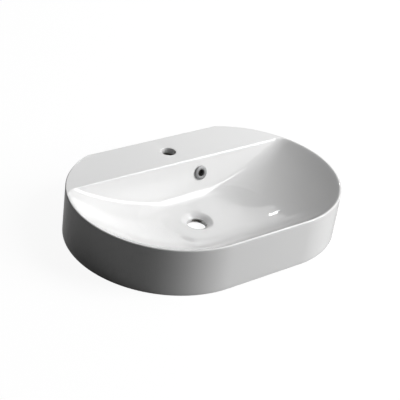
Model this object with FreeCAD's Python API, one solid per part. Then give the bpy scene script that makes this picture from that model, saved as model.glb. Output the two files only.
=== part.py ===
"""Countertop basin in glazed vitreous china: oval plan with a straight back, thin rim and tap deck.

Millimetres, +Z up, origin on the counter under the middle of the basin. X runs along the basin,
the tap deck is at +Y. The basin is one hollow casting, open underneath; its overflow is lined by a
sleeve and trimmed by a chromed ring on a rubber gasket.
"""
import FreeCAD, Part
import math
import os

# Outside of the casting
LENGTH = 670.0
DEPTH = 450.0
HEIGHT = 113.0
BACK_CUT = 15.0
RIM_WIDTH = 5.0
RIM_ROUND = 2.2
APRON_WALL = 10.0

# Tap deck
DECK_DEPTH = 116.5
DECK_THICKNESS = 14.0
TAP_HOLE_RADIUS = 17.5
TAP_FROM_BACK = 62.0

# Bowl
FLOOR_HEIGHT = 20.0
FLOOR_FROM_DECK = 105.5
FLOOR_MARGIN = 3.0
FLOOR_HALF_STRAIGHT = 12.0
DISH_POWER = 1.8
BACK_WALL_ANGLE = 75.0
BACK_WALL_FOOT_RADIUS = 28.0
CORNER_RADIUS_TOP = 10.0
CORNER_RADIUS_LOW = 84.0
CORNER_SHARE = 0.6
BOWL_EDGE_BREAK = 1.2
BOWL_WALL_SIDE = 6.0
BOWL_WALL_DOWN = 12.0
FLOOR_THICKNESS = 9.0
BOWL_TOP = 1.04
BOWL_LEVELS = [BOWL_TOP, 0.85, 0.65, 0.45, 0.25, 0.1, 0.0]
BOWL_CURVE_DEGREE = 3
BACKING_LEVEL = 0.62
PAN_LEVEL = 0.25

# Waste outlet
WASTE_X = -22.0
WASTE_FROM_DECK = 110.0
WASTE_HOLE_RADIUS = 23.0
WASTE_SEAT_WIDTH = 6.5
WASTE_RECESS_DEPTH = 8.0
WASTE_LIP_WIDTH = 10.5
WASTE_BOSS_WALL = 10.0
BOSS_CLEARANCE = 1.0

# Overflow channel
OVERFLOW_X = 53.0
OVERFLOW_DROP = 36.3
OVERFLOW_HOLE_RADIUS = 12.5
CHANNEL_WIDTH = 30.0
CHANNEL_GAP = 12.0
CHANNEL_WALL = 6.0
CHANNEL_HEADROOM = 3.0
OUTLET_WIDTH = 22.0
OUTLET_HEIGHT = 5.0
OUTLET_FLOOR = 3.0

# Overflow trim
FIT_CLEARANCE = 0.2
GASKET_SEAT_GAP = 0.4
GASKET_THICKNESS = 1.0
GASKET_MARGIN = 1.2
RING_RADIUS = 17.0
RING_BORE_RADIUS = 8.0
RING_RISE = 3.2
RING_EDGE = 0.8
RING_SPIGOT_LENGTH = 9.0
SLEEVE_WALL = 1.8
SLEEVE_TAIL = 4.0
SLEEVE_BARB = 0.9
SLEEVE_SLOT_WIDTH = 3.0
SLEEVE_SLOT_DEPTH = 7.0
SLEEVE_FINGERS = 4
RING_STEPS = 2
ROUND_STEPS = 3

# Places worked out from the sizes above
FRONT_Y = -DEPTH / 2
BACK_Y = DEPTH / 2
END_RADIUS = (DEPTH + BACK_CUT) / 2
ARC_Y = FRONT_Y + END_RADIUS
HALF_STRAIGHT = LENGTH / 2 - END_RADIUS
DECK_Y = BACK_Y - DECK_DEPTH
TAP_Y = BACK_Y - TAP_FROM_BACK
FLOOR_Y = DECK_Y - FLOOR_FROM_DECK
WASTE_Y = DECK_Y - WASTE_FROM_DECK
WASTE_SEAT_Z = FLOOR_HEIGHT - WASTE_RECESS_DEPTH
WASTE_SEAT_RADIUS = WASTE_HOLE_RADIUS + WASTE_SEAT_WIDTH
WASTE_RECESS_RADIUS = WASTE_SEAT_RADIUS + WASTE_LIP_WIDTH
WALL_SLOPE = math.radians(BACK_WALL_ANGLE)
BACK_WALL_THICKNESS = BOWL_WALL_SIDE * math.sin(WALL_SLOPE) + BOWL_WALL_DOWN * math.cos(WALL_SLOPE)
OVERFLOW_SLANT = OVERFLOW_DROP / math.sin(WALL_SLOPE)
GASKET_FACE = GASKET_SEAT_GAP + GASKET_THICKNESS
WALL_FOOT_Y = DECK_Y - (HEIGHT - FLOOR_HEIGHT) / math.tan(WALL_SLOPE)
WALL_FOOT_REACH = BACK_WALL_FOOT_RADIUS * math.tan(WALL_SLOPE / 2)
FLOOR_RADIUS = WALL_FOOT_Y - WALL_FOOT_REACH - FLOOR_Y + FLOOR_MARGIN

vec = FreeCAD.Vector


def line(a, b):
    return Part.LineSegment(a, b).toShape()


def arc(centre, radius, start, middle, end):
    """Arc of a horizontal circle through three angles in radians."""
    points = [centre + vec(radius * math.cos(t), radius * math.sin(t), 0) for t in (start, middle, end)]
    return Part.Arc(*points).toShape()


def oval_wire(half, centre_y, radius, back, z):
    """Level outline with a straight front, two round ends and a straight back."""
    rise = math.asin((back - centre_y) / radius)
    low = -math.pi / 2
    right = vec(half, centre_y, z)
    left = vec(-half, centre_y, z)
    right_end = arc(right, radius, low, (low + rise) / 2, rise)
    left_end = arc(left, radius, math.pi - rise, math.pi - (low + rise) / 2, math.pi - low)
    back_line = line(right_end.lastVertex().Point, left_end.firstVertex().Point)
    front_line = line(left_end.lastVertex().Point, right_end.firstVertex().Point)
    return Part.Wire([right_end, back_line, left_end, front_line])


def plan_wire(inset, z):
    """Plan outline, moved in by inset."""
    return oval_wire(HALF_STRAIGHT, ARC_Y, END_RADIUS - inset, BACK_Y - inset, z)


def prism(wire, height):
    return Part.Face(wire).extrude(vec(0, 0, height))


def quarter_round(radius, steps):
    """Inset and rise of points along a quarter circle that turns from upright to level."""
    turns = [math.pi / 2 * k / steps for k in range(steps + 1)]
    return [(radius * (1 - math.cos(t)), radius * math.sin(t)) for t in turns]


def outer_block():
    """Solid block of the plan, with its upper edge rounded over to the rim."""
    levels = [plan_wire(0, 0)]
    for inset, rise in quarter_round(RIM_ROUND, ROUND_STEPS):
        levels.append(plan_wire(inset, HEIGHT - RIM_ROUND + rise))
    return Part.makeLoft(levels, True, True)


def back_wall_y(z):
    """Where the bowl's back wall stands at height z: a slope that turns into the floor by an arc."""
    if z >= FLOOR_HEIGHT + WALL_FOOT_REACH * math.sin(WALL_SLOPE):
        return DECK_Y - (HEIGHT - z) / math.tan(WALL_SLOPE)
    below = min(FLOOR_HEIGHT + BACK_WALL_FOOT_RADIUS - z, BACK_WALL_FOOT_RADIUS)
    return WALL_FOOT_Y - WALL_FOOT_REACH + math.sqrt(BACK_WALL_FOOT_RADIUS ** 2 - below ** 2)


def bowl_level(s):
    """The bowl at s, 1 on the rim and 0 on the floor: front half length, ends' centre and radius, back, z."""
    z = FLOOR_HEIGHT + (HEIGHT - FLOOR_HEIGHT) * s ** DISH_POWER
    rim_radius = END_RADIUS - RIM_WIDTH
    radius = FLOOR_RADIUS + (rim_radius - FLOOR_RADIUS) * s
    half = FLOOR_HALF_STRAIGHT + (HALF_STRAIGHT - FLOOR_HALF_STRAIGHT) * s
    centre_y = FLOOR_Y + (ARC_Y - FLOOR_Y) * s
    return half, centre_y, radius, back_wall_y(z), z


def bowl_section(s):
    """Level outline of the bowl's face, with rounded corners where the back wall meets the dish."""
    half, centre_y, radius, back, z = bowl_level(s)
    corner = CORNER_RADIUS_LOW + (CORNER_RADIUS_TOP - CORNER_RADIUS_LOW) * s
    corner = min(corner, CORNER_SHARE * radius)
    across = math.sqrt((radius - corner) ** 2 - (back - corner - centre_y) ** 2)
    turn = math.atan2(back - corner - centre_y, across)
    low = -math.pi / 2
    up = math.pi / 2
    right = vec(half, centre_y, z)
    left = vec(-half, centre_y, z)
    right_corner = vec(half + across, back - corner, z)
    left_corner = vec(-half - across, back - corner, z)
    return Part.Wire([
        arc(right, radius, low, (low + turn) / 2, turn),
        arc(right_corner, corner, turn, (turn + up) / 2, up),
        line(right_corner + vec(0, corner, 0), left_corner + vec(0, corner, 0)),
        arc(left_corner, corner, up, math.pi - (turn + up) / 2, math.pi - turn),
        arc(left, radius, math.pi - turn, math.pi - (low + turn) / 2, math.pi - low),
        line(left - vec(0, radius, 0), right - vec(0, radius, 0)),
    ])


def bowl_solid():
    sections = [bowl_section(s) for s in BOWL_LEVELS]
    return Part.makeLoft(sections, True, False, False, BOWL_CURVE_DEGREE)


def backing_section(s):
    """Level outline of the underside, the wall's thickness outside and below the bowl's face."""
    half, centre_y, radius, back, z = bowl_level(s)
    return oval_wire(half, centre_y, radius + BOWL_WALL_SIDE, back + BOWL_WALL_SIDE, z - BOWL_WALL_DOWN)


def bowl_backing():
    """The bowl with its wall's thickness: two sloping bands round a flat-bottomed pan at the waste."""
    edge = backing_section(PAN_LEVEL)
    band = Part.makeLoft([backing_section(BOWL_TOP), backing_section(BACKING_LEVEL), edge], True, True)
    pan = Part.Face(edge).extrude(vec(0, 0, FLOOR_HEIGHT - FLOOR_THICKNESS - edge.BoundBox.ZMin))
    return band.fuse(pan)


def waste_cut():
    """Waste hole, flat seat and rounded mouth, turned about the outlet's own axis."""
    top = WASTE_SEAT_Z + 2 * WASTE_RECESS_DEPTH
    outline = [(0, 0), (WASTE_HOLE_RADIUS, 0), (WASTE_HOLE_RADIUS, WASTE_SEAT_Z)]
    for out, rise in quarter_round(1.0, ROUND_STEPS):
        outline.append((WASTE_SEAT_RADIUS + WASTE_LIP_WIDTH * out, WASTE_SEAT_Z + WASTE_RECESS_DEPTH * rise))
    outline += [(WASTE_RECESS_RADIUS, top), (0, top)]
    cut = turned(outline)
    cut.translate(vec(WASTE_X, WASTE_Y, 0))
    return cut


def behind_wall(slant, offset):
    """Point level with the overflow's middle, slant down the back wall and offset behind it."""
    y = DECK_Y - slant * math.cos(WALL_SLOPE) + offset * math.sin(WALL_SLOPE)
    z = HEIGHT - slant * math.sin(WALL_SLOPE) - offset * math.cos(WALL_SLOPE)
    return vec(OVERFLOW_X, y, z)


def channel_solid(grow, inner):
    """Overflow channel down behind the back wall and under the floor to the waste, or its casing."""
    outer = BACK_WALL_THICKNESS + CHANNEL_GAP + grow
    top = OVERFLOW_SLANT - OVERFLOW_HOLE_RADIUS - CHANNEL_HEADROOM - grow
    low_z = BOSS_CLEARANCE + OUTLET_FLOOR - grow
    bottom = (HEIGHT - low_z - outer * math.cos(WALL_SLOPE)) / math.sin(WALL_SLOPE)
    corners = [behind_wall(top, inner), behind_wall(top, outer), behind_wall(bottom, outer),
               behind_wall(bottom, inner), behind_wall(top, inner)]
    width = CHANNEL_WIDTH + 2 * grow
    shaft = Part.Face(Part.makePolygon(corners)).extrude(vec(width, 0, 0))
    shaft.translate(vec(-width / 2, 0, 0))

    foot = behind_wall(bottom, outer)
    run = math.hypot(OVERFLOW_X - WASTE_X, foot.y - WASTE_Y)
    width = OUTLET_WIDTH + 2 * grow
    outlet = Part.makeBox(run, width, OUTLET_HEIGHT + 2 * grow, vec(0, -width / 2, low_z))
    turn = math.atan2(foot.y - WASTE_Y, OVERFLOW_X - WASTE_X)
    outlet.rotate(vec(0, 0, 0), vec(0, 0, 1), math.degrees(turn))
    outlet.translate(vec(WASTE_X, WASTE_Y, 0))
    return shaft.fuse(outlet)


def overflow_axis():
    """Centre of the overflow on the back wall's face, and the direction that leaves the wall."""
    direction = vec(0, -math.sin(WALL_SLOPE), math.cos(WALL_SLOPE))
    return behind_wall(OVERFLOW_SLANT, 0), direction


def on_overflow(shape):
    """Moves a shape turned about Z onto the overflow's axis, with Z leaving the wall."""
    centre, direction = overflow_axis()
    shape.Placement = FreeCAD.Placement(centre, FreeCAD.Rotation(vec(0, 0, 1), direction))
    return shape


def break_bowl_edge(body):
    """Eases the edge where the deck and the rim turn down into the bowl."""
    rim_outline = plan_wire(RIM_ROUND, HEIGHT)
    mouth = []
    for edge in body.Edges:
        box = edge.BoundBox
        on_top = box.ZMin > HEIGHT - FIT_CLEARANCE
        if on_top and edge.distToShape(rim_outline)[0] > FIT_CLEARANCE:
            mouth.append(edge)
    return body.makeChamfer(BOWL_EDGE_BREAK, mouth)


def basin_body():
    rimmed = break_bowl_edge(outer_block().cut(bowl_solid()))

    hollow = prism(plan_wire(APRON_WALL, 0), HEIGHT - DECK_THICKNESS)
    boss_radius = WASTE_SEAT_RADIUS + WASTE_BOSS_WALL
    boss = Part.makeCylinder(boss_radius, FLOOR_HEIGHT, vec(WASTE_X, WASTE_Y, 0))
    casing = channel_solid(CHANNEL_WALL, 0)
    kept = bowl_backing().fuse([boss, casing])
    foot_gap = Part.makeBox(LENGTH, DEPTH, HEIGHT, vec(-LENGTH / 2, -DEPTH / 2, BOSS_CLEARANCE - HEIGHT))
    hollow = hollow.cut(kept.cut(foot_gap))

    tap_hole = Part.makeCylinder(TAP_HOLE_RADIUS, HEIGHT, vec(0, TAP_Y, HEIGHT / 2))
    channel = channel_solid(0, BACK_WALL_THICKNESS)
    reach = BACK_WALL_THICKNESS + CHANNEL_GAP / 2
    overflow_hole = on_overflow(Part.makeCylinder(OVERFLOW_HOLE_RADIUS, 2 * reach, vec(0, 0, -reach)))
    body = rimmed.cut([hollow, tap_hole, waste_cut(), channel, overflow_hole])
    return body.removeSplitter()


def turned(points):
    """Solid of revolution about Z from a closed outline of radius and height pairs."""
    outline = [vec(r, 0, h) for r, h in points]
    face = Part.Face(Part.makePolygon(outline + outline[:1]))
    return face.revolve(vec(0, 0, 0), vec(0, 0, 1), 360)


SLEEVE_RADIUS = OVERFLOW_HOLE_RADIUS - FIT_CLEARANCE
SLEEVE_BORE = SLEEVE_RADIUS - SLEEVE_WALL
SPIGOT_RADIUS = SLEEVE_BORE - FIT_CLEARANCE


def overflow_gasket():
    inner = SLEEVE_RADIUS + FIT_CLEARANCE
    outer = RING_RADIUS - GASKET_MARGIN
    seat = GASKET_SEAT_GAP
    return on_overflow(turned([(inner, seat), (outer, seat), (outer, GASKET_FACE), (inner, GASKET_FACE)]))


def overflow_sleeve():
    """Push-in sleeve: barbed fingers spring open behind the wall and hold it."""
    back = -BACK_WALL_THICKNESS - SLEEVE_TAIL
    barb = -BACK_WALL_THICKNESS - FIT_CLEARANCE
    tip = SLEEVE_RADIUS - SLEEVE_WALL / 2
    outline = [(SLEEVE_BORE, back), (tip, back), (SLEEVE_RADIUS + SLEEVE_BARB, barb),
               (SLEEVE_RADIUS, barb), (SLEEVE_RADIUS, GASKET_FACE), (SLEEVE_BORE, GASKET_FACE)]
    sleeve = turned(outline)
    for k in range(SLEEVE_FINGERS):
        slot = Part.makeBox(2 * SLEEVE_RADIUS, SLEEVE_SLOT_WIDTH, SLEEVE_SLOT_DEPTH,
                            vec(0, -SLEEVE_SLOT_WIDTH / 2, back))
        slot.rotate(vec(0, 0, 0), vec(0, 0, 1), 360.0 * k / SLEEVE_FINGERS)
        sleeve = sleeve.cut(slot)
    return on_overflow(sleeve)


def overflow_ring():
    """Chromed ring: domed flange on the gasket, bore rolled in, spigot down the sleeve."""
    seat = GASKET_FACE
    tail = seat - RING_SPIGOT_LENGTH
    lip = SPIGOT_RADIUS - RING_BORE_RADIUS
    outline = [(SPIGOT_RADIUS, tail), (SPIGOT_RADIUS, seat), (RING_RADIUS, seat)]
    dome = RING_RADIUS - SPIGOT_RADIUS
    for inset, rise in quarter_round(1.0, RING_STEPS):
        outline.append((RING_RADIUS - dome * inset, seat + RING_EDGE + (RING_RISE - RING_EDGE) * rise))
    outline += [(RING_BORE_RADIUS, seat + RING_RISE - lip), (RING_BORE_RADIUS, tail)]
    return on_overflow(turned(outline))


PIECES = {
    "basin_body": basin_body,
    "overflow_gasket": overflow_gasket,
    "overflow_sleeve": overflow_sleeve,
    "overflow_ring": overflow_ring,
}

os.makedirs("parts", exist_ok=True)
for name, make in PIECES.items():
    shape = make()
    shape.exportStep("parts/%s.step" % name)
    print(name, "solids", len(shape.Solids), "valid", shape.isValid(), "litres %.3f" % (shape.Volume / 1e6))
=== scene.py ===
# %% [markdown]
# # A countertop basin in glazed china
# The real basin is one hollow casting: an oval wall with a straight back, a thin rim, a flat deck for the
# tap, and a dished bowl that a steep back wall cuts off. A chromed ring trims its overflow. The CAD model
# gives every place, in metres, with X along the basin, the deck at +Y and the counter at z = 0.

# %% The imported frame
import math

import bmesh
import bpy
import numpy as np
from mathutils import Matrix, Vector


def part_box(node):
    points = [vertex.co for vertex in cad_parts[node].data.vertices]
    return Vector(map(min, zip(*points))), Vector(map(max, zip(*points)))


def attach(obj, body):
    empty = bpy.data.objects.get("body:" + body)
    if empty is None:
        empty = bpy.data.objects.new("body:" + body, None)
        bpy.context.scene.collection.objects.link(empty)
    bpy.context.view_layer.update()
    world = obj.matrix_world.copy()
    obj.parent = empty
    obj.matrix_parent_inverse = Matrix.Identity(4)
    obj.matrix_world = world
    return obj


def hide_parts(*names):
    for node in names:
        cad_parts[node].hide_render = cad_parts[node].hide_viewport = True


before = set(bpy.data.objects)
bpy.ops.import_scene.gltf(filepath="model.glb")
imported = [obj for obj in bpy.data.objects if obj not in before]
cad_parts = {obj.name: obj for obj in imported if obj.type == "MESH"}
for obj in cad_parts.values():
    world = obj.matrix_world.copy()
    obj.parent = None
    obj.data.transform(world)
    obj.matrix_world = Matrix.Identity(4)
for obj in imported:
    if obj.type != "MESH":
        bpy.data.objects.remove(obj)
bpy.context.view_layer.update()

# %% [markdown]
# ## Sizes
# The outside comes from the CAD node's own box, so the visual basin can't outgrow the solid. The other
# sizes repeat the casting's: how wide the rim is, how the bowl falls from rim to floor, where the holes are.

# %% Sizes of the casting
MM = 0.001
body_low, body_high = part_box("basin_body")
LENGTH, DEPTH, HEIGHT = (round(v, 3) for v in body_high - body_low)
BACK_CUT = 15 * MM
END_RADIUS = (DEPTH + BACK_CUT) / 2
ARC_Y = END_RADIUS - DEPTH / 2
HALF_STRAIGHT = LENGTH / 2 - END_RADIUS
RIM_WIDTH = 5 * MM
RIM_ROUND = 2.2 * MM
FOOT_ROUND = 1 * MM
BACK_CORNER_ROUND = 9 * MM
APRON_WALL = 10 * MM

DECK_Y = DEPTH / 2 - 116.5 * MM
DECK_THICKNESS = 14 * MM
TAP_Y = DEPTH / 2 - 62 * MM
TAP_HOLE_RADIUS = 17.5 * MM

FLOOR_Y = DECK_Y - 105.5 * MM
FLOOR_HEIGHT = 20 * MM
FLOOR_HALF_STRAIGHT = 12 * MM
FLOOR_MARGIN = 3 * MM
DISH_POWER = 1.8
WALL_SLOPE = math.radians(75)
WALL_FOOT_RADIUS = 28 * MM
WALL_FOOT_REACH = WALL_FOOT_RADIUS * math.tan(WALL_SLOPE / 2)
WALL_FOOT_START = DECK_Y - (HEIGHT - FLOOR_HEIGHT) / math.tan(WALL_SLOPE) - WALL_FOOT_REACH
FLOOR_RADIUS = WALL_FOOT_START - FLOOR_Y + FLOOR_MARGIN
WASTE = np.array([-22 * MM, DECK_Y - 110 * MM])
print("casting", LENGTH, DEPTH, HEIGHT, "waste at", WASTE)

# %% [markdown]
# ## Level outlines
# Cut the basin at any height and the outline is the same kind of loop: a straight front, two round ends
# and a straight back, with rounded corners where the back meets the ends. One function gives that loop for
# the outer wall, the bowl and the hollow underneath. Every loop has the same number of columns, so any two
# of them can be joined by a strip of quads. The columns are shared out twice: for the bowl, which needs
# many in its corners, and for the plan, whose back corners are small.


# %% Columns round a loop
def spread(*runs):
    """Rising shares from 0: each run is (share at its end, number of columns), its end left out."""
    start, shares = 0.0, []
    for end, count in runs:
        shares.append(np.linspace(start, end, count, endpoint=False))
        start = end
    return np.concatenate(shares)


END_COLUMNS, CORNER_COLUMNS, BACK_COLUMNS, FRONT_COLUMNS = 110, 24, 120, 48
SIDE_COLUMNS, BACK_CORNER_COLUMNS = 30, 6
even = {count: spread((1, count)) for count in (END_COLUMNS, CORNER_COLUMNS, BACK_COLUMNS, FRONT_COLUMNS)}
BOWL_COLUMNS = [even[END_COLUMNS], even[CORNER_COLUMNS], even[BACK_COLUMNS],
                even[CORNER_COLUMNS], even[END_COLUMNS], even[FRONT_COLUMNS]]
COLUMNS = sum(len(run) for run in BOWL_COLUMNS)
back_columns = slice(END_COLUMNS + CORNER_COLUMNS, END_COLUMNS + CORNER_COLUMNS + BACK_COLUMNS)


def outline(half, centre_y, radius, back, corner, columns):
    """Loops of one point per column: end arcs of this radius about (+-half, centre_y), a straight back and
    front, and corner arcs that touch both. Sizes may be arrays, one entry per loop."""
    sizes = (half, centre_y, radius, back, corner)
    half, centre_y, radius, back, corner = (np.reshape(size, (-1, 1)) for size in sizes)
    across = half + np.sqrt((radius - corner) ** 2 - (back - corner - centre_y) ** 2)
    turn = np.arctan2(back - corner - centre_y, across - half)
    right_angle = np.pi / 2

    def arc(x, y, size, start, end, shares):
        angle = start + (end - start) * shares
        return np.stack(np.broadcast_arrays(x + size * np.cos(angle), y + size * np.sin(angle)), -1)

    def straight(start, y, shares):
        return np.stack(np.broadcast_arrays(start * (1 - 2 * shares), y), -1)

    right_end, right_corner, back_line, left_corner, left_end, front_line = columns
    return np.concatenate([
        arc(half, centre_y, radius, -right_angle, turn, right_end),
        arc(across, back - corner, corner, turn, right_angle, right_corner),
        straight(across, back, back_line),
        arc(-across, back - corner, corner, right_angle, np.pi - turn, left_corner),
        arc(-half, centre_y, radius, np.pi - turn, 3 * right_angle, left_end),
        straight(-half, centre_y - radius, front_line),
    ], axis=1)


# %% [markdown]
# The plan's columns stay near those of the bowl and of the hollow underneath. How far round the end the
# deck's edge and the hollow's back lie, as a share of the whole turn to the back corner, says where each run
# stops.

# %% The plan's loops
MOUTH_CORNER = 32 * MM
BACKING_BACK_Y = DECK_Y + 5.4 * MM


def angle_at(y, radius):
    """Angle on an end arc of this radius, above the X direction, at which it has come to y."""
    return math.asin((y - ARC_Y) / radius)


hollow_radius = END_RADIUS - APRON_WALL
hollow_turn = angle_at(DEPTH / 2 - APRON_WALL - BACK_CORNER_ROUND, hollow_radius - BACK_CORNER_ROUND)
whole_turn = math.pi / 2 + hollow_turn
mouth_turn = angle_at(DECK_Y - MOUTH_CORNER, END_RADIUS - RIM_WIDTH - MOUTH_CORNER)
deck_share = (math.pi / 2 + mouth_turn) / whole_turn
hollow_share = (math.pi / 2 + angle_at(BACKING_BACK_Y, hollow_radius)) / whole_turn
PLAN_COLUMNS = [
    spread((deck_share, END_COLUMNS), (hollow_share, CORNER_COLUMNS), (1, SIDE_COLUMNS)),
    spread((1, BACK_CORNER_COLUMNS)),
    spread((1, BACK_COLUMNS - 2 * SIDE_COLUMNS - 2 * BACK_CORNER_COLUMNS)),
    spread((1, BACK_CORNER_COLUMNS)),
    spread((1 - hollow_share, SIDE_COLUMNS), (1 - deck_share, CORNER_COLUMNS), (1, END_COLUMNS)),
    even[FRONT_COLUMNS],
]


def plan(inset):
    """The basin's plan, moved in by inset."""
    return outline(HALF_STRAIGHT, ARC_Y, END_RADIUS - inset, DEPTH / 2 - inset, BACK_CORNER_ROUND,
                   PLAN_COLUMNS)


print("columns", COLUMNS, "plan loop", plan(0).shape)

# %% [markdown]
# ## The bowl
# The bowl is a dish whose level outlines shrink from the rim to the floor while it gets steeper outwards,
# cut off by a flat back wall that turns into the floor by an arc. Where the two meet is a soft valley,
# tight at the rim and wide at the floor, so the corner radius of the outlines changes with the level. The
# level is s, 1 on the rim and 0 on the floor.


# %% Levels of the bowl
def bowl_height(s):
    """Height is the floor's plus the depth times s to a power: flat in the middle, steeper outwards."""
    return FLOOR_HEIGHT + (HEIGHT - FLOOR_HEIGHT) * s ** DISH_POWER


def back_wall_y(z):
    """The back wall's place at height z: a straight slope under the deck's edge, an arc at its foot."""
    slope = DECK_Y - (HEIGHT - z) / math.tan(WALL_SLOPE)
    below = np.clip(FLOOR_HEIGHT + WALL_FOOT_RADIUS - z, 0, WALL_FOOT_RADIUS)
    foot = WALL_FOOT_START + np.sqrt(WALL_FOOT_RADIUS ** 2 - below ** 2)
    return np.where(z >= FLOOR_HEIGHT + WALL_FOOT_REACH * math.sin(WALL_SLOPE), slope, foot)


CORNER_LOW = 120 * MM
CORNER_SHARE = 0.7


def bowl_ends(s):
    """Half straight, centre and radius of the round ends at level s: each runs evenly from floor to rim."""
    half = FLOOR_HALF_STRAIGHT + (HALF_STRAIGHT - FLOOR_HALF_STRAIGHT) * s
    centre_y = FLOOR_Y + (ARC_Y - FLOOR_Y) * s
    radius = FLOOR_RADIUS + (END_RADIUS - RIM_WIDTH - FLOOR_RADIUS) * s
    return half, centre_y, radius


def bowl_loops(s, grow=0.0):
    """Outlines of the bowl at levels s. The corner shrinks evenly from floor to rim, and is never more than
    a share of the end's radius."""
    s = np.reshape(s, -1)
    half, centre_y, radius = bowl_ends(s)
    corner = np.minimum(CORNER_LOW + (MOUTH_CORNER - CORNER_LOW) * s, CORNER_SHARE * radius)
    back = back_wall_y(bowl_height(s))
    return outline(half, centre_y, radius + grow, back + grow, corner + grow, BOWL_COLUMNS)


# %% [markdown]
# ## The casting as one closed strip
# Follow the china from its foot up the outer wall, over the rim, down the bowl, through the waste hole and
# back under the bowl to the foot: that is one strip that closes on itself. So the casting is a grid of
# loops, one after the other, and every edge is a real round with its own loops, because a sharp edge in
# glaze gives itself away in the highlights.

# %% Loops from the foot to the bowl
SMALL_ROUND_STEPS, RIM_STEPS = 4, 8
WALL_LOOPS, EDGE_LOOPS, BOWL_LOOPS = 12, 8, 54
loops = []


def lay(points, z):
    """Adds loops: plan points, with one height per loop or one per point."""
    points = np.reshape(points, (-1, COLUMNS, 2))
    z = np.broadcast_to(np.reshape(z, (len(points), -1)), points.shape[:2])
    loops.append(np.dstack([points, z]))


def quarter(steps):
    """Cosines and sines along a quarter turn."""
    angle = np.linspace(0, np.pi / 2, steps + 1)
    return np.cos(angle), np.sin(angle)


def curve(t, start, pull, end):
    """A quadratic curve at t from 0 to 1: it leaves start towards pull, and comes to end from pull."""
    return (1 - t) ** 2 * start + 2 * t * (1 - t) * pull + t ** 2 * end


cos, sin = quarter(SMALL_ROUND_STEPS)
lay(plan(FOOT_ROUND * (1 - sin)), FOOT_ROUND * (1 - cos))
wall_z = np.linspace(FOOT_ROUND, HEIGHT - RIM_ROUND, WALL_LOOPS + 2)[1:-1]
lay(plan(np.zeros(WALL_LOOPS)), wall_z)
cos, sin = quarter(RIM_STEPS)
lay(plan(RIM_ROUND * (1 - cos)), HEIGHT - RIM_ROUND * (1 - sin))

EDGE_ROUND = 2 * MM
DECK_EDGE_WIDER = 0.5 * MM
DECK_EDGE_EASE = 0.12
EDGE_LEVEL = 0.968
FLAT_EDGE = 0.15 * MM
FLOOR_LEVEL = 0.12


def level_points(s, grow=0.0):
    """The bowl's loops as points, at their heights."""
    flat = bowl_loops(s, grow)
    return np.dstack([flat, np.broadcast_to(bowl_height(np.reshape(s, (-1, 1))), flat.shape[:2])])


along = even[BACK_COLUMNS]
wider = np.clip(np.minimum(along, 1 - along) / DECK_EDGE_EASE, 0, 1)


def mouth_edge(grow):
    """Where the bowl's edge starts to round over: further out along the deck, easing in at both ends
    by three times the square of the way less twice its cube."""
    loop = level_points(1.0, grow)
    loop[0, back_columns, 1] += DECK_EDGE_WIDER * wider ** 2 * (3 - 2 * wider)
    return loop


lay(plan(RIM_ROUND + FLAT_EDGE), HEIGHT)
loops.append(mouth_edge(EDGE_ROUND + FLAT_EDGE))
outside, edge, inside = mouth_edge(EDGE_ROUND), level_points(1.0), level_points(EDGE_LEVEL)
t = np.linspace(0, 1, EDGE_LOOPS, endpoint=False).reshape(-1, 1, 1)
loops.append(curve(t, outside, edge, inside))
loops.append(level_points(np.linspace(EDGE_LEVEL, FLOOR_LEVEL, BOWL_LOOPS)))
print("bowl loops", sum(len(group) for group in loops))

# %% [markdown]
# The floor eases from the dish into the waste's round mouth. Each column runs straight in plan from the
# lowest dish loop to the mouth, and falls along a cubic that starts with the dish's own slope and ends
# level, so no ring shows in the reflections. From there a funnel goes down to the hole. In section it is a
# quadratic curve, which starts level with the floor and ends at the slope with which the hole's round begins.

# %% Floor and waste outlet
FLOOR_LOOPS, FUNNEL_LOOPS, HOLE_EDGE_LOOPS = 11, 14, 5
SLOPE_STEP = 0.01
SEAT_HEIGHT = 12 * MM
FUNNEL_RADIUS = 40 * MM
FUNNEL_SLOPE = math.radians(40)
WASTE_RADIUS = 23 * MM
HOLE_ROUND = 1 * MM
BOSS_RADIUS = 39.5 * MM
BOSS_BOTTOM = 1 * MM
BOSS_FILLET = 2 * MM
PAN_BOTTOM = 11 * MM

dish = level_points(FLOOR_LEVEL)[0]
spokes = dish[:, :2] - WASTE
spokes = spokes / np.linalg.norm(spokes, axis=1, keepdims=True)


def ring(radius):
    """Loops about the waste's axis, one per radius."""
    return WASTE + np.reshape(radius, (-1, 1, 1)) * spokes


mouth = ring(FUNNEL_RADIUS)[0]
above = level_points(FLOOR_LEVEL + SLOPE_STEP)[0]
slope = (above[:, 2] - dish[:, 2]) / np.hypot(*(above - dish)[:, :2].T)
run = np.hypot(*(mouth - dish[:, :2]).T)
t = np.linspace(0, 1, FLOOR_LOOPS + 2)[1:-1].reshape(-1, 1)
fall = (1 + 2 * t) * (1 - t) ** 2 * (dish[:, 2] - FLOOR_HEIGHT) - t * (1 - t) ** 2 * slope * run
lay(dish[:, :2] + t[:, :, None] * (mouth - dish[:, :2]), FLOOR_HEIGHT + fall)

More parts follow.
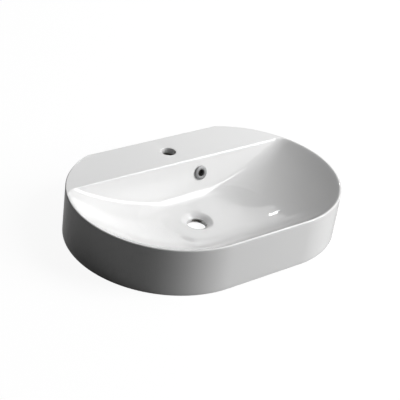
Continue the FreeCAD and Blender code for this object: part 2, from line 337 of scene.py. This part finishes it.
round_radius = WASTE_RADIUS + HOLE_ROUND
turn = np.linspace(FUNNEL_SLOPE, np.pi / 2, HOLE_EDGE_LOOPS)
edge_radius = round_radius - HOLE_ROUND * np.sin(turn)
edge_z = SEAT_HEIGHT - HOLE_ROUND * (1 - np.cos(turn))
drop = FLOOR_HEIGHT - edge_z[0]
bend = edge_radius[0] + drop / math.tan(FUNNEL_SLOPE)
t = np.linspace(0, 1, FUNNEL_LOOPS, endpoint=False)
lay(ring(curve(t, FUNNEL_RADIUS, bend, edge_radius[0])), FLOOR_HEIGHT - drop * t ** 2)
lay(ring(edge_radius), edge_z)
cos, sin = quarter(SMALL_ROUND_STEPS)
lay(ring(round_radius - HOLE_ROUND * cos), BOSS_BOTTOM + HOLE_ROUND * (1 - sin))
glazed_rows = sum(len(group) for group in loops)
lay(ring(BOSS_RADIUS - HOLE_ROUND * (1 - sin)), BOSS_BOTTOM + HOLE_ROUND * (1 - cos))
lay(ring(BOSS_RADIUS + BOSS_FILLET * (1 - cos)), PAN_BOTTOM - BOSS_FILLET * (1 - sin))
print("glazed loops", glazed_rows)

# %% [markdown]
# Underneath, the china is left raw: a flat pan round the waste, a slope that follows the dish, the deck's
# underside and the inside of the outer wall. The slope's last loop lies on the outer wall at the front and
# ends, and on the deck's underside at the back. There the wall's loop and the slope's loop part, and the
# deck's underside fills the space between them.

# %% Underside
PAN_LEVEL = 0.25
BACKING_LEVEL = 0.62
WALL_SIDE = 6 * MM
WALL_DOWN = 12 * MM
PAN_EDGE = 2 * MM
BACKING_CORNER = 14 * MM
HOLLOW_TOP = HEIGHT - DECK_THICKNESS
HOLLOW_FRONT_TOP = 94 * MM


def backing_loops(s, inset):
    """Outlines of the underside at level s, the wall's thickness outside the bowl, moved in by inset."""
    grow = WALL_SIDE - inset
    half, centre_y, radius = bowl_ends(s)
    back, corner = back_wall_y(bowl_height(s)), BACKING_CORNER - WALL_SIDE
    return outline(half, centre_y, radius + grow, back + grow, corner + grow, BOWL_COLUMNS)


cos, sin = quarter(SMALL_ROUND_STEPS)
lay(backing_loops(PAN_LEVEL, PAN_EDGE * (1 - sin)), PAN_BOTTOM + PAN_EDGE * (1 - cos))
for level in (PAN_LEVEL, BACKING_LEVEL):
    lay(backing_loops(level, 0), bowl_height(level) - WALL_DOWN)

hollow = plan(APRON_WALL)[0]
top_z = np.full(COLUMNS, HOLLOW_FRONT_TOP)
top_z[back_columns] = HOLLOW_TOP
ramp = np.linspace(HOLLOW_FRONT_TOP, HOLLOW_TOP, CORNER_COLUMNS)
top_z[END_COLUMNS:back_columns.start] = ramp
top_z[back_columns.stop:back_columns.stop + CORNER_COLUMNS] = ramp[::-1]
slope_top = hollow.copy()
slope_top[back_columns, 0] = np.linspace(hollow[back_columns.start, 0], hollow[back_columns.stop, 0],
                                         BACK_COLUMNS, endpoint=False)
slope_top[back_columns, 1] = BACKING_BACK_Y
lay(slope_top, top_z)
lay(hollow, top_z)
lay(hollow, HEIGHT / 2)
cos, sin = quarter(SMALL_ROUND_STEPS)
lay(plan(APRON_WALL - FOOT_ROUND * (1 - cos)), FOOT_ROUND * (1 - sin))

grid = np.concatenate(loops)
print("grid", grid.shape)

# %% [markdown]
# ## From grid to mesh
# A grid of points becomes quads by numbering: each quad joins a column and the next on two neighbouring
# loops. Points that fall together, as where the slope meets the outer wall, are merged afterwards.


# %% Mesh makers
def object_of(name, points, faces):
    """A new object at the origin, smooth shaded, from points and quads."""
    mesh = bpy.data.meshes.new(name)
    mesh.from_pydata(points.reshape(-1, 3).tolist(), [], faces.reshape(-1, 4).tolist())
    mesh.polygons.foreach_set("use_smooth", np.ones(len(mesh.polygons), bool))
    made = bpy.data.objects.new(name, mesh)
    bpy.context.scene.collection.objects.link(made)
    return made


def quads(rows, columns):
    """Corner numbers of the quads of a grid that closes on itself both ways."""
    number = np.arange(rows * columns).reshape(rows, columns)
    right = np.roll(number, -1, axis=1)
    up = np.roll(number, -1, axis=0)
    return np.stack([number, right, np.roll(up, -1, axis=1), up], -1)


def clean(piece, distance=0.01 * MM):
    """Joins points that fall together and turns the faces outwards."""
    work = bmesh.new()
    work.from_mesh(piece.data)
    bmesh.ops.remove_doubles(work, verts=work.verts, dist=distance)
    bmesh.ops.recalc_face_normals(work, faces=work.faces)
    work.to_mesh(piece.data)
    work.free()


def mark_raw(piece, raw):
    """Notes on each face whether its clay is raw, 1, or glazed, 0."""
    shares = np.broadcast_to(np.asarray(raw, np.float32), len(piece.data.polygons))
    piece.data.attributes.new("raw", "FLOAT", "FACE").data.foreach_set("value", shares)


basin = object_of("basin_china", grid, quads(*grid.shape[:2]))
mark_raw(basin, (np.arange(len(grid)) >= glazed_rows).repeat(COLUMNS))
clean(basin)
print("basin", len(basin.data.vertices), "points", len(basin.data.polygons), "faces")

# %% [markdown]
# ## Holes and the overflow channel
# The tap hole, the overflow hole and the channel from the overflow to the waste don't follow the loops, so
# they are cut with Blender's exact Boolean. Each cutter is a stack of closed loops with a cap at both ends.
# The tap hole's cutter flares at the deck, which leaves the soft edge that glaze has there. The channel
# needs a casing behind the back wall first, and then its own hollow inside that casing.


# %% Cutters
def stack(name, rings, raw=1):
    """A closed solid from loops of points, one loop after the other, with flat caps. Its faces leave raw
    clay where they cut, unless raw is 0."""
    rows, columns = rings.shape[:2]
    number = np.arange(rows * columns).reshape(rows, columns)
    after = np.roll(number, -1, axis=1)
    sides = np.stack([number[:-1], after[:-1], after[1:], number[1:]], -1)
    mesh = bpy.data.meshes.new(name)
    caps = [number[0, ::-1].tolist(), number[-1].tolist()]
    mesh.from_pydata(rings.reshape(-1, 3).tolist(), [], sides.reshape(-1, 4).tolist() + caps)
    made = bpy.data.objects.new(name, mesh)
    bpy.context.scene.collection.objects.link(made)
    mark_raw(made, raw)
    clean(made)
    return made


def combine(piece, tool, operation):
    """Adds the tool's solid to the piece or takes it away, and removes the tool."""
    step = piece.modifiers.new(operation, "BOOLEAN")
    step.operation, step.solver, step.object = operation, "EXACT", tool
    solved = bpy.data.meshes.new_from_object(piece.evaluated_get(bpy.context.evaluated_depsgraph_get()))
    piece.modifiers.remove(step)
    piece.data = solved
    bpy.data.objects.remove(tool)


def rounded_box(width, height, corner, steps=5):
    """Points round a rectangle with rounded corners, about its middle, turning from first to second axis."""
    angle = (np.linspace(0, np.pi / 2, steps + 1) + np.arange(4)[:, None] * np.pi / 2).ravel()
    side = np.array([[1, 1], [-1, 1], [-1, -1], [1, -1]]).repeat(steps + 1, 0)
    middle = side * np.array([width / 2 - corner, height / 2 - corner])
    return middle + corner * np.stack([np.cos(angle), np.sin(angle)], -1)


OVERFLOW_X = 53 * MM
OVERFLOW_SLANT = 36.3 * MM / math.sin(WALL_SLOPE)
OVERFLOW_RADIUS = 12.5 * MM
BACK_WALL = WALL_SIDE * math.sin(WALL_SLOPE) + WALL_DOWN * math.cos(WALL_SLOPE)
CHANNEL_WIDTH = 30 * MM
CHANNEL_GAP = 12 * MM
CHANNEL_WALL = 6 * MM
CHANNEL_HEADROOM = 3 * MM
OUTLET_WIDTH = 22 * MM
OUTLET_LOW, OUTLET_HIGH = 4 * MM, 9 * MM

down_wall = np.array([0, -math.cos(WALL_SLOPE), -math.sin(WALL_SLOPE)])
behind = np.array([0, math.sin(WALL_SLOPE), -math.cos(WALL_SLOPE)])
deck_edge = np.array([OVERFLOW_X, DECK_Y, HEIGHT])


def shaft(name, near, far, top, low, grow, corner):
    """A duct along the back wall, from near to far behind its face, from slant top down to a level foot at
    height low. Also gives the middle of that foot in plan."""
    section = rounded_box(CHANNEL_WIDTH + 2 * grow, far - near, corner)
    across = deck_edge + np.array([1, 0, 0]) * section[:, :1] + behind * (section[:, 1:] + (near + far) / 2)
    foot = across + down_wall * (across[:, 2:] - low) / math.sin(WALL_SLOPE)
    return stack(name, np.stack([foot, across + down_wall * top])), foot[:, :2].mean(0)


def duct(name, start, end, low, high, width, corner):
    """A level duct from one place in plan to another."""
    section = rounded_box(width, high - low, corner)
    way = (end - start) / np.linalg.norm(end - start)
    across = np.stack([-way[1] * section[:, 0], way[0] * section[:, 0], section[:, 1]], -1)
    ends = [np.array([*place, (low + high) / 2]) + across for place in (start, end)]
    return stack(name, np.stack(ends[::-1]))


# %% [markdown]
# Cutters that share a face upset an exact Boolean, so casing and duct start inside the china, and their
# undersides lie a small step apart. The casing's pieces are joined before the basin gains them, and the
# channel's before the basin loses them.

# %% Casing, channel and holes
HOLE_COLUMNS = 96
OUTLET_START = 0.8 * WASTE_RADIUS
CASING_START = 2 * MM
CASING_STEP = 0.2 * MM
CHANNEL_SUMP = 0.7 * MM
DUCT_CORNER = 2 * MM
hole_top = OVERFLOW_SLANT - OVERFLOW_RADIUS - CHANNEL_HEADROOM
far_side = BACK_WALL + CHANNEL_GAP
casing, _ = shaft("casing", CASING_START, far_side + CHANNEL_WALL, hole_top - CHANNEL_WALL,
                  BOSS_BOTTOM + CASING_STEP, CHANNEL_WALL, CHANNEL_WALL)
channel, foot = shaft("channel", BACK_WALL, far_side, hole_top, OUTLET_LOW - CHANNEL_SUMP, 0, DUCT_CORNER)
way = (foot - WASTE) / np.linalg.norm(foot - WASTE)
outlet_casing = duct("outlet_casing", WASTE + way * (WASTE_RADIUS + CHANNEL_WALL), foot,
                     BOSS_BOTTOM + 2 * CASING_STEP, OUTLET_HIGH + CHANNEL_WALL,
                     OUTLET_WIDTH + 2 * CHANNEL_WALL, CHANNEL_WALL)
outlet = duct("outlet", WASTE + way * OUTLET_START, foot, OUTLET_LOW, OUTLET_HIGH, OUTLET_WIDTH, DUCT_CORNER)

turn = np.linspace(0, 2 * np.pi, HOLE_COLUMNS, endpoint=False)
circle = np.stack([np.cos(turn), np.sin(turn)], -1)
overflow_centre = deck_edge + down_wall * OVERFLOW_SLANT
spread_out = np.array([1, 0, 0]) * circle[:, :1] - down_wall * circle[:, 1:]
overflow_ends = [overflow_centre + spread_out * OVERFLOW_RADIUS + behind * depth
                 for depth in (BACK_WALL + CHANNEL_GAP / 2, -CHANNEL_GAP)]
overflow_hole = stack("overflow_hole", np.stack(overflow_ends))

TAP_EDGE = 1.6 * MM
cos, sin = quarter(RIM_STEPS)
flare = TAP_HOLE_RADIUS + TAP_EDGE * (1 - cos)
tap_radius = np.concatenate([[TAP_HOLE_RADIUS], flare, [TAP_HOLE_RADIUS + TAP_EDGE]])
tap_z = np.concatenate([[HOLLOW_TOP - TAP_EDGE], HEIGHT - TAP_EDGE * (1 - sin), [HEIGHT + TAP_EDGE]])
tap_rings = np.array([0, TAP_Y]) + tap_radius[:, None, None] * circle
tap_heights = np.broadcast_to(tap_z[:, None], tap_rings.shape[:2])
tap_hole = stack("tap_hole", np.dstack([tap_rings, tap_heights]), 0)

for piece, tool, operation in ((casing, outlet_casing, "UNION"), (basin, casing, "UNION"),
                               (channel, outlet, "UNION"), (channel, overflow_hole, "UNION"),
                               (basin, channel, "DIFFERENCE"), (basin, tap_hole, "DIFFERENCE")):
    combine(piece, tool, operation)
    print(operation, piece.name, len(piece.data.polygons), "faces")

SHARP_ANGLE = math.radians(38)
basin.data.polygons.foreach_set("use_smooth", np.ones(len(basin.data.polygons), bool))
basin.data.set_sharp_from_angle(angle=SHARP_ANGLE)
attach(basin, "root")
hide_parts("basin_body")

# %% [markdown]
# ## The overflow's trim
# The ring is turned metal: a domed flange on a thin rubber gasket, rolled in at the bore, with a spigot
# that pushes into a plastic sleeve. Facets would show in its metal, so the CAD ring is replaced by a finely
# turned one on the same axis. The gasket and the sleeve are right as they are and keep their CAD shapes.


# %% Turned ring
def turned(name, profile, steps=128):
    """A closed profile of radius and height pairs, carried round the overflow's axis."""
    angle = np.linspace(0, 2 * np.pi, steps, endpoint=False)
    radial = np.array([1, 0, 0]) * np.cos(angle)[:, None] - down_wall * np.sin(angle)[:, None]
    points = overflow_centre + profile[:, :1, None] * radial - behind * profile[:, 1:, None]
    return object_of(name, points, quads(len(profile), steps))


DOME_STEPS = 16
GASKET_FACE = 1.4 * MM
RING_RADIUS = 17 * MM
RING_BORE = 8 * MM
SPIGOT_RADIUS = 10.3 * MM
RING_RISE = 3.2 * MM
RING_EDGE = 0.8 * MM
SPIGOT_END = -7.6 * MM

cos, sin = quarter(DOME_STEPS)
dome = np.stack([SPIGOT_RADIUS + (RING_RADIUS - SPIGOT_RADIUS) * cos,
                 GASKET_FACE + RING_EDGE + (RING_RISE - RING_EDGE) * sin], -1)
roll = SPIGOT_RADIUS - RING_BORE
lip = np.stack([SPIGOT_RADIUS - roll * sin, GASKET_FACE + RING_RISE - roll * (1 - cos)], -1)[1:]
spigot = np.array([[RING_BORE, SPIGOT_END], [SPIGOT_RADIUS, SPIGOT_END], [SPIGOT_RADIUS, GASKET_FACE],
                   [RING_RADIUS, GASKET_FACE]])
trim = turned("overflow_trim", np.concatenate([dome, lip, spigot]))
trim.data.set_sharp_from_angle(angle=SHARP_ANGLE)
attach(trim, "root")
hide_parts("overflow_ring")
print("ring", len(trim.data.polygons), "faces")

# %% [markdown]
# ## Finishes
# Shader maths reads best as sums, so a small class stands for a socket and adds a Math node for each
# operator. A second class holds one node tree, adds nodes to it and joins them.


# %% Sums on sockets
class Value:
    """A node's output that can be added, subtracted and multiplied."""

    def __init__(self, tree, socket):
        self.tree, self.socket = tree, socket

    def maths(self, operation, first, second):
        return self.tree.node("ShaderNodeMath", {"operation": operation}, {0: first, 1: second})

    def __add__(self, other):
        return self.maths("ADD", self, other)

    def __sub__(self, other):
        return self.maths("SUBTRACT", self, other)

    def __rsub__(self, other):
        return self.maths("SUBTRACT", other, self)

    def __mul__(self, other):
        return self.maths("MULTIPLY", self, other)

    __radd__ = __add__

    def ease(self, low, high):
        """0 below low, 1 above high, and smooth between."""
        return self.tree.node("ShaderNodeMapRange", {"interpolation_type": "SMOOTHSTEP"},
                              {"Value": self, "From Min": low, "From Max": high})


class Tree:
    """One node tree: node() adds a node, settings first, and feeds its sockets with values or links."""

    def __init__(self, owner):
        owner.use_nodes = True
        self.tree = owner.node_tree
        self.tree.nodes.clear()

    def node(self, kind, settings=None, inputs=None, output=0):
        made = self.tree.nodes.new(kind)
        for name, value in (settings or {}).items():
            setattr(made, name, value)
        for name, value in (inputs or {}).items():
            if isinstance(value, Value):
                self.tree.links.new(value.socket, made.inputs[name])
            else:
                made.inputs[name].default_value = value
        return Value(self, made.outputs[output]) if made.outputs else made

    def place(self):
        return self.node("ShaderNodeTexCoord", output="Object")

    def noise(self, scale, detail=2.0, **inputs):
        inputs = {"Vector": self.place(), "Scale": scale, "Detail": detail, **inputs}
        return self.node("ShaderNodeTexNoise", None, inputs)

    def mix(self, share, first, second):
        """A colour between two, by share."""
        return self.node("ShaderNodeMix", {"data_type": "RGBA"}, {"Factor": share, 6: first, 7: second}, 2)

    def bump(self, height, strength, distance):
        inputs = {"Height": height, "Strength": strength, "Distance": distance}
        return self.node("ShaderNodeBump", None, inputs)


def finish(name, make, *pieces):
    """A material whose Principled sockets come from make(tree), set on each piece."""
    material = bpy.data.materials.new(name)
    tree = Tree(material)
    surface = tree.node("ShaderNodeBsdfPrincipled", None, make(tree))
    tree.node("ShaderNodeOutputMaterial", None, {"Surface": surface})
    for piece in pieces:
        piece.data.materials.clear()
        piece.data.materials.append(material)
    print("finish", name, "on", [piece.name for piece in pieces])


# %% [markdown]
# The glaze is a clear, very smooth glass over white clay. It is never quite even: its tone drifts over a
# hand's breadth, its thickness ripples over a thumb's, and both show in the reflections. The foot, which
# stood on the kiln shelf, and the underside are bare, and there the clay is matt, warmer and grainy. The
# faces carry that as an attribute, and the foot's glaze line comes from the height.


# %% Glazed china
BARE_HEIGHT = 0.4 * MM
FOOT_LINE = 1.2 * MM


def china(tree):
    """Glaze on clay: the mix from one to the other goes by how bare the clay is."""
    raw = tree.node("ShaderNodeAttribute", {"attribute_name": "raw"}, output="Fac")
    height = tree.node("ShaderNodeSeparateXYZ", None, {0: tree.place()}, "Z")
    ragged = height - (tree.noise(180.0) - 0.5) * FOOT_LINE
    unglazed = 1.0 - ragged.ease(BARE_HEIGHT, FOOT_LINE)
    bare = tree.node("ShaderNodeMath", {"operation": "MAXIMUM"}, {0: raw, 1: unglazed})
    drift = tree.noise(7.0)
    ripple = tree.noise(48.0, 1.0)
    grain = tree.noise(1100.0, 4.0)
    glaze = tree.mix(drift, (0.868, 0.87, 0.87, 1), (0.884, 0.883, 0.878, 1))
    clay = tree.mix(tree.noise(160.0, 4.0), (0.63, 0.59, 0.53, 1), (0.78, 0.75, 0.69, 1))
    relief = ripple * (1.0 - bare) * 0.035 + grain * bare
    return {"Base Color": tree.mix(bare, glaze, clay), "Roughness": 0.045 + drift * 0.03 + bare * 0.7,
            "IOR": 1.52, "Normal": tree.bump(relief, 1.0, 0.15 * MM)}


finish("glazed_china", china, basin)

# %% [markdown]
# The ring was turned and plated to a satin grey, so its sheen has fine marks that run round the axis, and a
# few duller patches where water dried. The distance from the overflow's axis is the length of a cross
# product.


# %% Chrome, rubber and plastic
def chrome(tree):
    """Satin plate: turning marks by distance from the axis, water marks by place."""
    from_centre = tree.node("ShaderNodeVectorMath", {"operation": "SUBTRACT"},
                            {0: tree.place(), 1: tuple(overflow_centre)})
    across = tree.node("ShaderNodeVectorMath", {"operation": "CROSS_PRODUCT"},
                       {0: from_centre, 1: tuple(behind)})
    radius = tree.node("ShaderNodeVectorMath", {"operation": "LENGTH"}, {0: across}, "Value")
    marks = tree.node("ShaderNodeTexNoise", {"noise_dimensions": "1D"},
                      {"W": radius, "Scale": 3500.0, "Detail": 3.0})
    water = tree.noise(260.0, 3.0).ease(0.5, 0.7)
    return {"Base Color": tree.mix(water, (0.29, 0.292, 0.295, 1), (0.25, 0.251, 0.253, 1)), "Metallic": 1.0,
            "Roughness": 0.52 + marks * 0.12 + water * 0.1, "Normal": tree.bump(marks, 0.3, 0.01 * MM)}


def rubber(tree):
    """Black rubber with bloom in patches and a fine moulded grain."""
    bloom = tree.noise(400.0, 4.0)
    return {"Base Color": tree.mix(bloom, (0.018, 0.018, 0.018, 1), (0.05, 0.049, 0.047, 1)),
            "Roughness": 0.5 + bloom * 0.3, "Normal": tree.bump(tree.noise(2600.0), 0.5, 0.05 * MM)}


def plastic(tree):
    """Grey moulded plastic: swirls from the mould in its tone, a spark-eroded grain on its face."""
    swirl = tree.noise(220.0, 3.0, Distortion=1.5)
    return {"Base Color": tree.mix(swirl, (0.24, 0.24, 0.245, 1), (0.32, 0.32, 0.325, 1)),
            "Roughness": 0.38 + swirl * 0.15, "Normal": tree.bump(tree.noise(3000.0), 0.4, 0.04 * MM)}


finish("trim_chrome", chrome, trim)
finish("gasket_rubber", rubber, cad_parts["overflow_gasket"])
finish("sleeve_plastic", plastic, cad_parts["overflow_sleeve"])

# %% [markdown]
# ## Camera, floor and light
# The camera stands in front of the basin's left end and looks down at it, rolled a little, as worked out
# from the outline, the deck's edge and the holes. Its matrix has the directions right, up and back as
# columns.

# %% Camera
camera = bpy.data.objects.new("camera", bpy.data.cameras.new("camera"))
bpy.context.scene.collection.objects.link(camera)
right = (0.796004, -0.592070, 0.125819)
up = (0.220004, 0.476651, 0.851118)
back = (-0.563894, -0.649812, 0.509674)
place = (-1.387334, -1.574174, 1.309656)
camera.matrix_world = Matrix([[*row, 0] for row in (right, up, back)] + [[*place, 1]]).transposed()
camera.data.sensor_width = 36.0
camera.data.lens = 96.11
bpy.context.scene.camera = camera

# %% [markdown]
# The floor and the world look white to the camera, but they throw little light on the basin: Light Path tells
# a ray from the camera, or through glass, from a ray of light. Mirrors see part of the white.

# %% Floor
FLOOR_HALF = 8.0
MIRROR_SHARE = 0.3
corners = np.array([[-1, -1, 0], [1, -1, 0], [1, 1, 0], [-1, 1, 0]]) * FLOOR_HALF
floor = object_of("floor", corners, np.arange(4))


def white_to_view(tree):
    """1 for rays from the camera and through glass, part of that in mirrors, and 0 for light on the basin."""
    kinds = ("Is Camera Ray", "Is Glossy Ray", "Is Transmission Ray")
    camera_ray, mirror_ray, glass_ray = (tree.node("ShaderNodeLightPath", output=kind) for kind in kinds)
    return camera_ray + glass_ray + mirror_ray * MIRROR_SHARE


def backdrop(tree):
    """White paper to the eye, which still takes a shadow, and grey card to the light that it throws back."""
    card = tree.node("ShaderNodeBsdfDiffuse", None, {"Color": (0.22, 0.22, 0.22, 1)})
    sheet = tree.node("ShaderNodeBsdfDiffuse", None, {"Color": (0.11, 0.11, 0.11, 1)})
    glow = tree.node("ShaderNodeEmission", None, {"Color": (1, 1, 1, 1), "Strength": 0.93})
    paper = tree.node("ShaderNodeAddShader", None, {0: sheet, 1: glow})
    surface = tree.node("ShaderNodeMixShader", None, {0: white_to_view(tree), 1: card, 2: paper})
    tree.node("ShaderNodeOutputMaterial", None, {"Surface": surface})


paper = bpy.data.materials.new("floor_paper")
backdrop(Tree(paper))
floor.data.materials.append(paper)

# %% [markdown]
# A tall, narrow box at the front right does most of the work. It shades the outer wall from grey at the left
# to near white at the right, and it is narrow because the right valley mirrors what stands further left. A
# weak box high on the right fills the bowl, a panel at the back is mirrored in the deck, and a small lamp
# makes the spark on the floor of the bowl.

# %% Lights
BASIN_MIDDLE = Vector((0, 0, 0.08))
SPARK = Vector((0.143, -0.072, 0.036))


def softbox(name, azimuth, elevation, width, height, power, distance=4.0, aim=BASIN_MIDDLE):
    """A lamp that faces the aim. Azimuth runs from the front to the right, both angles in degrees."""
    turn, lift = math.radians(azimuth), math.radians(elevation)
    way = Vector((math.sin(turn) * math.cos(lift), -math.cos(turn) * math.cos(lift), math.sin(lift)))
    lamp = bpy.data.lights.new(name, "AREA")
    lamp.shape, lamp.size, lamp.size_y, lamp.energy = "RECTANGLE", width, height, power
    made = bpy.data.objects.new(name, lamp)
    bpy.context.scene.collection.objects.link(made)
    made.location = aim + way * distance
    made.rotation_euler = way.to_track_quat("Z", "Y").to_euler()


softbox("front", 50, 31, 2.0, 3.8, 197)
softbox("right", 100, 55, 2.2, 1.8, 27)
softbox("back_panel", 136, 28, 2.4, 1.6, 18)
softbox("spark", 156, 28, 0.13, 0.055, 1.2, distance=3.5, aim=SPARK)

world = bpy.data.worlds.new("studio")
bpy.context.scene.world = world
tree = Tree(world)
dim = tree.node("ShaderNodeBackground", None, {"Color": (1, 1, 1, 1), "Strength": 0.0})
white = tree.node("ShaderNodeBackground", None, {"Color": (1, 1, 1, 1), "Strength": 1.0})
sky = tree.node("ShaderNodeMixShader", None, {0: white_to_view(tree), 1: dim, 2: white})
tree.node("ShaderNodeOutputWorld", None, {"Surface": sky})

# %% View transform
bpy.context.scene.view_settings.view_transform = "Standard"
